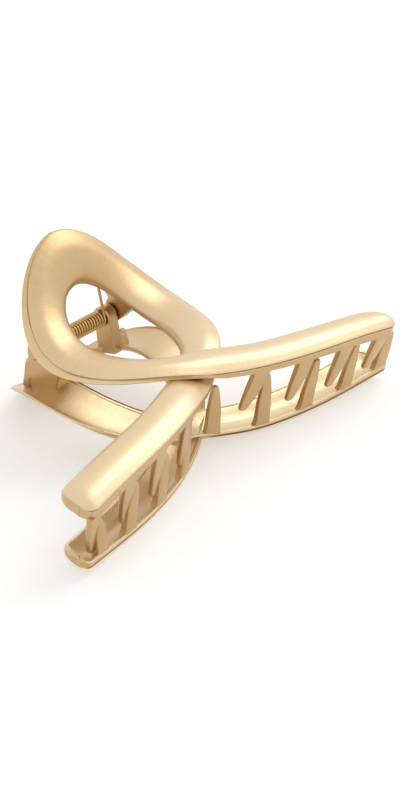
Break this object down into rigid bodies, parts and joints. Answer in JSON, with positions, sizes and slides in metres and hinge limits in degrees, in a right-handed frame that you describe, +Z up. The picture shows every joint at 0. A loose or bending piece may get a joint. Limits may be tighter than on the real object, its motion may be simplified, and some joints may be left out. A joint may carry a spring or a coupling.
{
  "type": "claw clip",
  "caption": "Sprung metal hair claw: two crossed-ribbon jaws with interlocking combs, hinged on a pin under the thumb loops.",
  "frame": {"origin": "centre of the underside of the closed clip's bounding box, on the surface it lies on", "axes": "+X along the hinge pin and the clip's length, +Y towards the thumb tabs, +Z up; the closed clip lies on its lower thumb tab and lower arms"},
  "size_m": [0.1198, 0.0726, 0.0451],
  "materials": {
    "gold_casting": "satin brushed champagne-gold plating on a zinc casting",
    "gold_pin": "polished champagne-gold plating",
    "gold_wire": "gold-plated steel spring wire"
  },
  "bodies": {
    "lower": {"lower_jaw": "gold_casting", "hinge_pin": "gold_pin", "torsion_spring": "gold_wire"},
    "upper": {"upper_jaw": "gold_casting"}
  },
  "joints": [
    {"name": "jaw_hinge", "type": "hinge", "parent": "lower", "child": "upper", "pos_m": [0, 0.01976, 0.02055], "axis": [-1, 0, 0], "range_deg": [0, 60], "stiffness_Nm_per_rad": 0.19, "springref_deg": -30.37, "deforming": ["torsion_spring"]}
  ]
}
